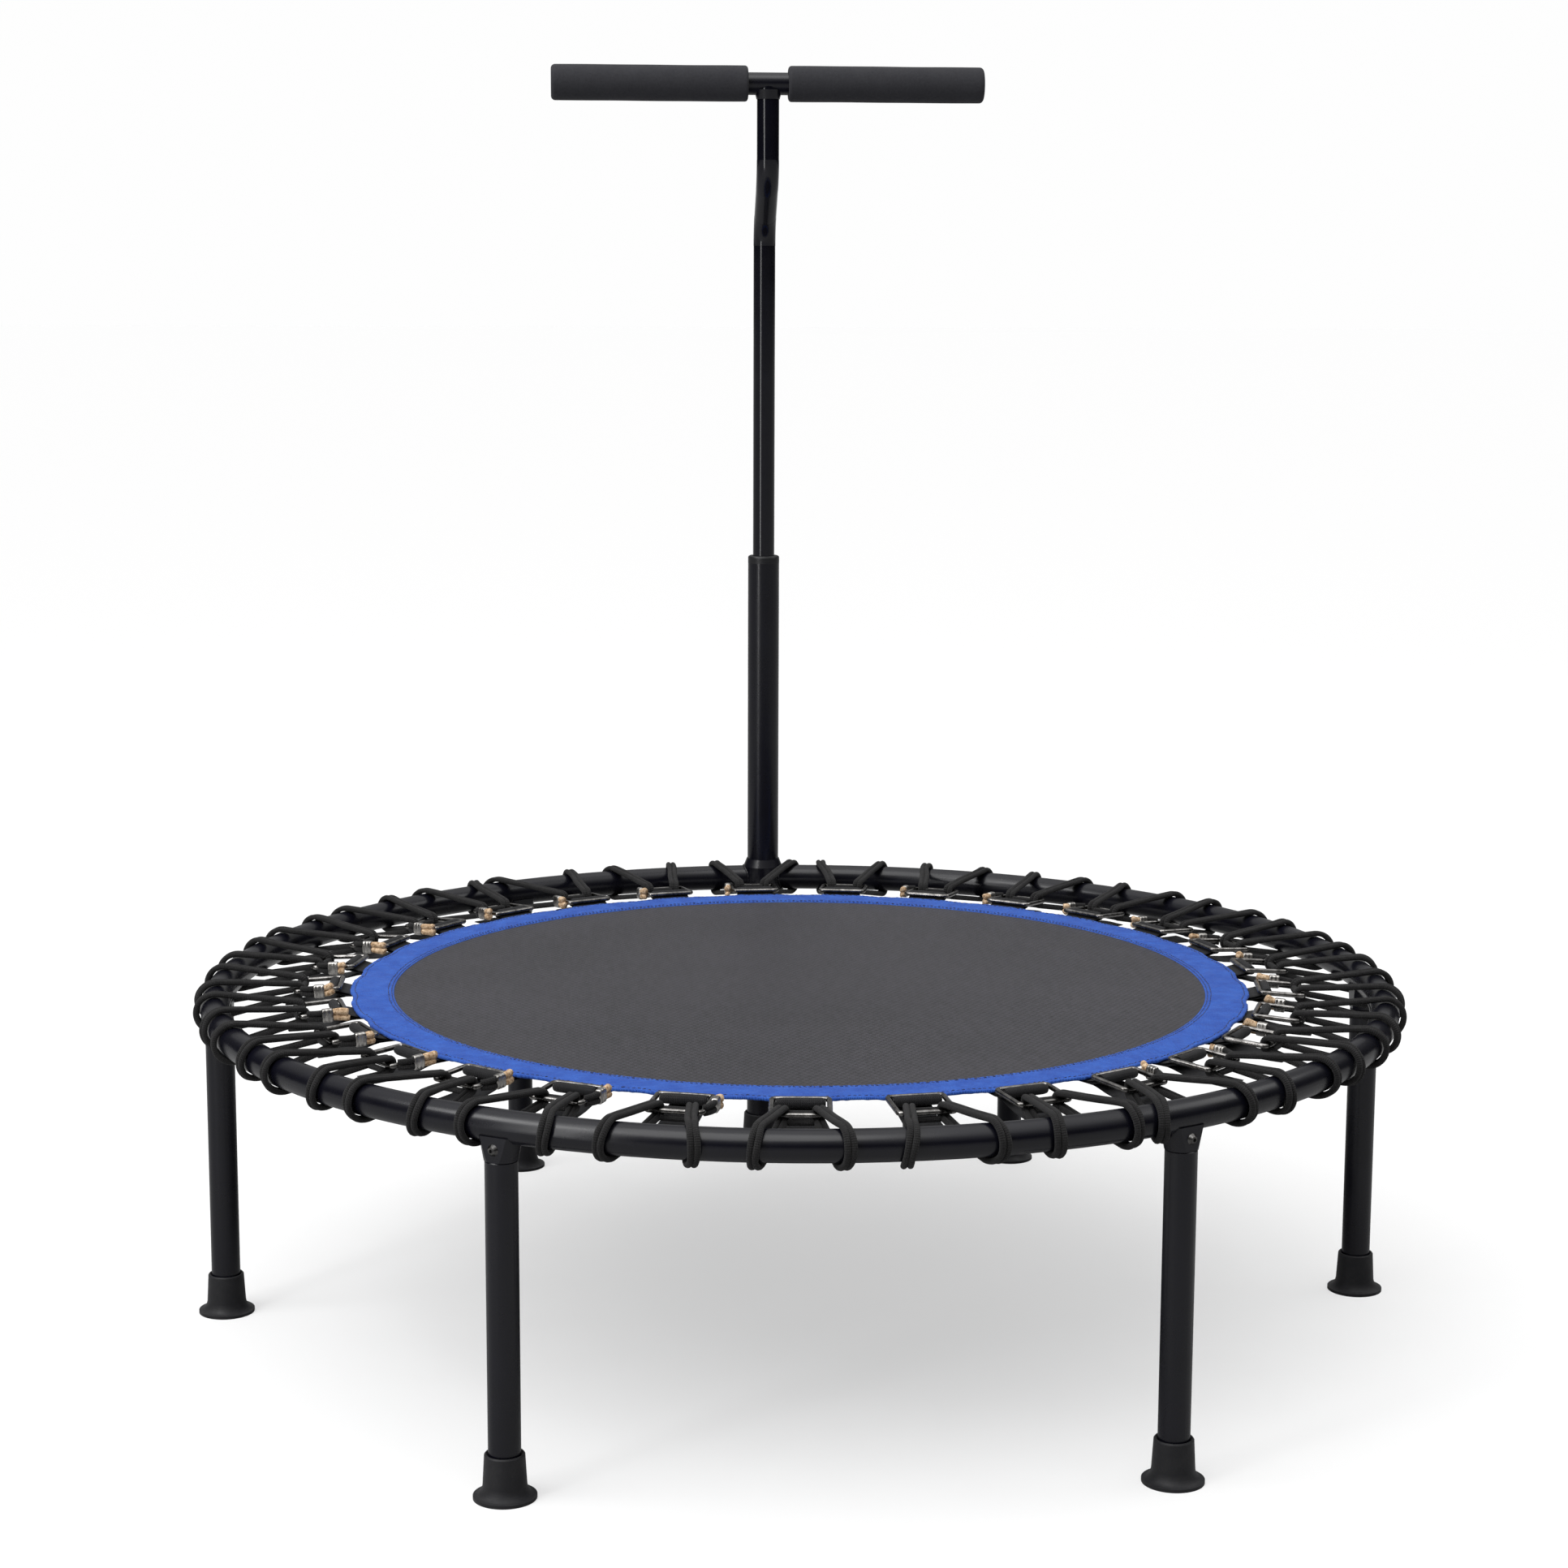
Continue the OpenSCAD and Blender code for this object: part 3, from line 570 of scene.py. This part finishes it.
def mat_disc():
    count, radii = UNITS * 12, np.concatenate([[0.004], np.linspace(0.02, 0.374, 26)])
    angles = np.linspace(0, TAU, count, endpoint=False)
    verts, faces = [(0, 0, MAT_Z + FABRIC_T / 2 - 0.0008)], []
    for level, sign in ((0, 1), (1, -1)):
        for r in radii:
            dip = 0.0008 * (1 - (r / 0.374) ** 2)
            z = MAT_Z + sign * FABRIC_T / 2 - dip
            verts += [(r * math.cos(a), r * math.sin(a), z) for a in angles]
    verts.append((0, 0, MAT_Z - FABRIC_T / 2 - 0.0008))
    n, rings = count, len(radii)

    def at(level, i, p):
        return 1 + (level * rings + i) * n + p % n

    for p in range(n):
        faces.append((0, at(0, 0, p), at(0, 0, p + 1)))
        faces.append((len(verts) - 1, at(1, 0, p + 1), at(1, 0, p)))
        for i in range(rings - 1):
            faces.append((at(0, i, p), at(0, i + 1, p), at(0, i + 1, p + 1), at(0, i, p + 1)))
            faces.append((at(1, i, p + 1), at(1, i + 1, p + 1), at(1, i + 1, p), at(1, i, p)))
        rim = rings - 1
        faces.append((at(0, rim, p), at(1, rim, p), at(1, rim, p + 1), at(0, rim, p + 1)))
    obj = piece("mat_cloth", verts, faces, M_MAT)
    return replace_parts(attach(obj, "mat"), "mat_fabric")


def stitches():
    """Short thread stitches, each a pointed bead sunk at its two ends."""
    b = Builder()
    rows = [(0.057, 1, 3.3), (0.136, 1, 3.3), (0.895, 1, 3.6), (0.057, -1, 3.3), (0.136, -1, 3.3)]
    for share, face, length in rows:
        r = HEM_IN + share * (HEM_OUT - HEM_IN)
        count = int(TAU * r / ((length + 0.7) * MM))
        for i in range(count):
            mid = TAU * i / count
            half = length * MM / 2 / r
            path = []
            for s, sink in ((-1, 0.45), (-0.6, 0), (0.0, -0.12), (0.6, 0), (1, 0.45)):
                a = mid + s * half
                edge = float(hem_edge(np.array([a]))[0])
                rr = HEM_IN + share * (edge - HEM_IN)
                z = float(hem_top(np.array([a]), np.array([share]))[0])
                z = min(z, HEM_T / 2 + 0.0002) if face < 0 else z
                path.append((rr * math.cos(a), rr * math.sin(a), MAT_Z + face * (z - sink * MM + 0.0001)))
            b.tube(path, [0.0002, 0.0004, 0.00045, 0.0004, 0.0002], sides=5)
    obj = b.make("hem_threads", M_NAVY, "navy_thread")
    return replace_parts(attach(obj, "mat"), "hem_stitching")


# ---------------------------------------------------------------- webbing straps
def ribbon(b, k, line, width, thick, wave=0.0):
    """A strap of that width whose middle line is given in (r, z), with rounded edges."""
    line = np.asarray(line, float)
    tangent = np.gradient(line, axis=0)
    tangent /= np.linalg.norm(tangent, axis=1)[:, None]
    normal = np.stack([-tangent[:, 1], tangent[:, 0]], 1)
    steps = np.linspace(-1, 1, 15)
    a = unit_angle(k)
    phase = random.uniform(0, TAU)
    rings = []
    for i, (p, nrm) in enumerate(zip(line, normal)):
        ring = []
        for face in (1, -1):
            for s in steps[::face]:
                t = s * width / 2
                round_off = math.sqrt(max(0.0, 1 - s ** 8)) * 0.5 + 0.02
                ripple = wave * math.sin(3 * s + phase + 0.4 * i)
                q = p + nrm * (face * thick * round_off + ripple)
                ring.append(polar(q[0], a, q[1]) + polar(t, a + 90))
        rings.append(ring)
    b.loft(rings, caps=True)


ROD_X, ROD_Z, LOOP_R = 408.6 * MM, 293.0 * MM, 3.45 * MM
TAB_W, FLAP_W, WEB_T = 36.4 * MM, 29.6 * MM, 1.4 * MM


def straps():
    b = Builder()
    """Middle lines in (r, z): the strap from the hem, round its rod and back, and the flap below."""
    loop = [
        (ROD_X + LOOP_R * math.cos(f), ROD_Z + LOOP_R * math.sin(f))
        for f in np.linspace(3.1, -1.9, 20)
    ]
    upper = [(0.3665, 0.2884), (0.375, 0.2884), (0.384, 0.2884)]
    upper += [(0.3925, 0.2885), (0.3985, 0.2899), (0.4030, 0.2911)]
    lower = [(0.4040, 0.2891), (0.3990, 0.2877), (0.3940, 0.2871), (0.380, 0.2871), (0.3680, 0.2871)]
    flap = [(0.3705, 0.2857), (0.380, 0.2857), (0.390, 0.2857), (0.3965, 0.2855), (0.4020, 0.2843)]
    flap += [(0.4100, 0.2820), (0.4200, 0.2800), (0.4300, 0.2789), (0.4400, 0.2784), (0.4495, 0.2783)]
    for k in range(UNITS):
        ribbon(b, k, upper + loop + lower, TAB_W, WEB_T)
        ribbon(b, k, flap, FLAP_W, WEB_T, wave=0.0003)
    obj = b.make("webbing_straps", M_WEB, "webbing")
    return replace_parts(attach(obj, "mat"), "tabs")


# ---------------------------------------------------------------- ferrules and cut ends
CRIMP_X, CRIMP_LEN, CRIMP_T = -17 * MM, 9 * MM, 26.9 * MM


def ferrules():
    """Pressed ferrules: rounded boxes pinched by the tool in two grooves."""
    b = Builder()
    turn = np.linspace(0, TAU, 28, endpoint=False)
    for k in range(UNITS):
        if k in BARE_UNITS:
            continue
        rings = []
        for s in np.linspace(0, 1, 19):
            groove = max(math.exp(-(((s - c) / 0.09) ** 2)) for c in (0.3, 0.7))
            end = 1 - 0.12 * (abs(2 * s - 1) ** 10)
            squeeze = (1 - 0.13 * groove) * end
            ring = []
            for f in turn:
                c, d = math.cos(f), math.sin(f)
                y = 3.2 * MM * squeeze * math.copysign(abs(c) ** 0.55, c)
                z = 5.9 * MM * end * math.copysign(abs(d) ** 0.55, d)
                ring.append(link_point(k, CRIMP_X - s * CRIMP_LEN, CRIMP_T + y, z))
            rings.append(ring)
        b.loft(rings, caps=True)
    obj = b.make("cord_ferrules", M_CRIMP, "crimp")
    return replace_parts(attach(obj, "mat"), "cord_crimps")


def cut_ends():
    """Black jacketed tails outward of each ferrule, and the bare tan rubber cut off inward of it."""
    tails, cores = Builder(), Builder()
    for k in range(UNITS):
        if k in BARE_UNITS:
            continue
        lean, rise = random.uniform(-3.0, 3.6) * MM, random.uniform(-1.6, 2.8) * MM
        reach = random.uniform(3.0, 14.0) * MM
        for s in (-1, 1):
            line = [
                link_point(k, CRIMP_X + u, CRIMP_T - 0.5 * u * u / 0.012, s * (2.65 * MM - 0.05 * u))
                for u in np.linspace(-1.5 * MM, 11 * MM, 9)
            ]
            tails.tube(line, DRAWN_R, side_dir=(0, 0, 1))
            far = reach * random.uniform(0.8, 1.1)
            swell = random.uniform(0.2, 1.3)
            line, radii = [], []
            for f in np.linspace(0, 1, 9):
                x = CRIMP_X - CRIMP_LEN + 0.0005 - f * far
                spread = s * (2.45 + random.uniform(-0.1, 0.5) * f) * MM
                line.append(link_point(k, x, CRIMP_T + lean * f * f, spread + rise * f * f))
                radii.append((2.4 + swell * f ** 0.5) * MM)
            radii[-1] *= 0.8
            cores.tube(line, radii, sides=14, side_dir=(0, 0, 1))
    first = tails.make("cord_tails", M_BRAID, "bungee")
    second = cores.make("rubber_ends", M_LATEX, "cord_core")
    for obj in (first, second):
        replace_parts(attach(obj, "mat"), "cord_ends")
    return first, second


border, cloth_piece, threads, webbing_piece = hem(), mat_disc(), stitches(), straps()
ferrules()
cut_ends()

# ---------------------------------------------------------------- foam grips
BAR_Y, BAR_Z = 457.5 * MM, 1095 * MM
GRIP_R, BORE_R = 17.5 * MM, 11.05 * MM
GRIP_IN, GRIP_OUT = 20 * MM, 214 * MM
GRIP_SIDES = 64


def grip(name, node, sign):
    """A foam sleeve with a soft shoulder, an open inner end and a closed outer end."""
    low, high, r = GRIP_IN, GRIP_OUT, GRIP_R
    inner, outer = 3.2 * MM, 4.2 * MM
    profile = [(low + 0.0006, BORE_R), (low, 11.8 * MM), (low, r - inner)]
    profile += [
        (low + inner * (1 - math.cos(f)), r - inner * (1 - math.sin(f)))
        for f in np.linspace(0.2, math.pi / 2, 8)
    ]
    profile += [(x, r) for x in np.linspace(low + 5 * MM, high - 6 * MM, 60)]
    profile += [
        (high - outer + outer * math.sin(f), r - outer * (1 - math.cos(f)))
        for f in np.linspace(0.1, math.pi / 2 - 0.1, 9)
    ]
    profile += [(high, r - 6 * MM), (high - 0.0002, 6 * MM), (high - 0.0004, 0.5 * MM)]
    turn = np.linspace(0, TAU, GRIP_SIDES, endpoint=False)
    rings = []
    for x, radius in profile:
        wobble = 1 + 0.004 * np.sin(3 * turn + 40 * x) + 0.003 * np.sin(2 * turn + 90 * x + 1)
        rr = np.minimum(radius * (wobble if radius > 12 * MM else 1), 17.6 * MM)
        y, z = BAR_Y + rr * np.cos(turn), BAR_Z + sign * rr * np.sin(turn)
        rings.append(np.stack([np.full(GRIP_SIDES, sign * x), y, z], 1))
    b = Builder()
    b.loft(rings)
    b.faces.append(tuple(len(b.verts) - GRIP_SIDES + i for i in range(GRIP_SIDES)))
    b.uvs.extend([(0, 0)] * GRIP_SIDES)
    obj = b.make(name, M_FOAM, "foam")
    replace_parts(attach(obj, "handle"), node)
    return obj


grip("foam_grip_left", "grip_left", -1)
grip("foam_grip_right", "grip_right", 1)


# ---------------------------------------------------------------- weld beads
SLEEVE_R = 20 * MM


def bead(b, path, radius):
    path = np.asarray(path)
    ripple = radius * (1 + 0.12 * np.sin(np.arange(len(path)) * TAU / 4))
    b.tube(path, ripple, sides=10, closed=True, side_dir=(0.01, 0.02, 1))


def welds():
    """A bead on each side of the post sleeve, where the ring tube runs into it."""
    b = Builder()
    for side in (-1, 1):
        path = []
        for f in np.linspace(0, TAU, 88, endpoint=False):
            y, z = TUBE_R * math.cos(f), TUBE_R * math.sin(f)
            x = math.sqrt(SLEEVE_R ** 2 - y ** 2)
            sag = x * x / 2 / RING_R
            path.append((side * x, RING_R + y - sag, RING_Z + z))
        bead(b, path, 1.1 * MM)
    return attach(b.make("weld_beads", M_PAINT, "frame_paint"), "frame")


welds()

# ---------------------------------------------------------------- floor and light
FLOOR_GLOW, FLOOR_TONE, FLOOR_BOUNCE = 0.53, 0.45, 0.36


def floor():
    """White paper seen by the camera, and dimmer as a light on the object."""
    mesh = bpy.data.meshes.new("floor")
    size = 60
    corners = [(-size, -size, 0), (size, -size, 0), (size, size, 0), (-size, size, 0)]
    mesh.from_pydata(corners, [], [(0, 1, 2, 3)])
    obj = bpy.data.objects.new("floor", mesh)
    bpy.context.scene.collection.objects.link(obj)
    s = Shader("floor_paper", (FLOOR_TONE, FLOOR_TONE, FLOOR_TONE), 0.9, specular=0.1)
    s.set("Emission Color", (1, 1, 1, 1))
    s.set("Emission Strength", FLOOR_GLOW)
    dim = s.nodes.new("ShaderNodeBsdfDiffuse")
    dim.inputs["Color"].default_value = (FLOOR_BOUNCE, FLOOR_BOUNCE, FLOOR_BOUNCE, 1)
    seen, choose = s.nodes.new("ShaderNodeLightPath"), s.nodes.new("ShaderNodeMixShader")
    s.links.new(seen.outputs["Is Camera Ray"], choose.inputs[0])
    s.links.new(dim.outputs[0], choose.inputs[1])
    s.links.new(s.bsdf.outputs[0], choose.inputs[2])
    s.links.new(choose.outputs[0], s.nodes["Material Output"].inputs["Surface"])
    mesh.materials.append(s.material)


def sky():
    """White to the camera; as a light, bright overhead and dim at the horizon, as in a studio."""
    world = bpy.data.worlds.new("studio")
    bpy.context.scene.world = world
    world.use_nodes = True
    nodes, links = world.node_tree.nodes, world.node_tree.links
    back, out = nodes["Background"], nodes["World Output"]
    coords = nodes.new("ShaderNodeTexCoord")
    split = nodes.new("ShaderNodeSeparateXYZ")
    links.new(coords.outputs["Generated"], split.inputs[0])
    ramp = nodes.new("ShaderNodeValToRGB")
    stops = [(0.0, 0.02), (0.35, 0.06), (0.65, 0.5), (1.0, 1.5)]
    ramp.color_ramp.elements[0].position, ramp.color_ramp.elements[1].position = 0.0, 1.0
    for _ in range(len(stops) - 2):
        ramp.color_ramp.elements.new(0.5)
    for element, (at, tone) in zip(ramp.color_ramp.elements, stops):
        element.position = at
        element.color = (tone, tone, tone, 1)
    links.new(split.outputs[2], ramp.inputs[0])
    links.new(ramp.outputs[0], back.inputs["Color"])
    seen = nodes.new("ShaderNodeBackground")
    seen.inputs["Color"].default_value = (0.99, 0.99, 0.99, 1)
    path = nodes.new("ShaderNodeLightPath")
    blend = nodes.new("ShaderNodeMixShader")
    links.new(path.outputs["Is Camera Ray"], blend.inputs[0])
    links.new(back.outputs[0], blend.inputs[1])
    links.new(seen.outputs[0], blend.inputs[2])
    links.new(blend.outputs[0], out.inputs["Surface"])


def sun(name, strength, spread, direction):
    light = bpy.data.lights.new(name, "SUN")
    light.energy = strength
    light.angle = math.radians(spread)
    obj = bpy.data.objects.new(name, light)
    obj.rotation_euler = (-Vector(direction)).to_track_quat("-Z", "Y").to_euler()
    bpy.context.scene.collection.objects.link(obj)


def softbox(name, at, size, watts, target):
    light = bpy.data.lights.new(name, "AREA")
    light.shape = "RECTANGLE"
    light.size, light.size_y = size
    light.energy = watts
    obj = bpy.data.objects.new(name, light)
    obj.visible_camera = False
    obj.location = at
    obj.rotation_euler = (Vector(target) - Vector(at)).to_track_quat("-Z", "Y").to_euler()
    bpy.context.scene.collection.objects.link(obj)


floor()
sky()
sun("key_sun", 1.15, 50, (-0.25, -0.35, 1.0))
softbox("softbox_left", (-2.2, -0.9, 2.6), (1.6, 1.0), 30, (0, 0, 0.5))
softbox("softbox_right", (2.3, 0.4, 2.4), (1.6, 1.0), 8, (0, 0, 0.5))
softbox("backdrop", (0, 4.2, 1.3), (6.0, 2.2), 11, (0, 0, 0.5))
softbox("strip_left", (-2.3, -2.2, 1.3), (0.5, 2.6), 26, (0, 0.2, 0.6))
bpy.context.scene.view_settings.view_transform = "Standard"
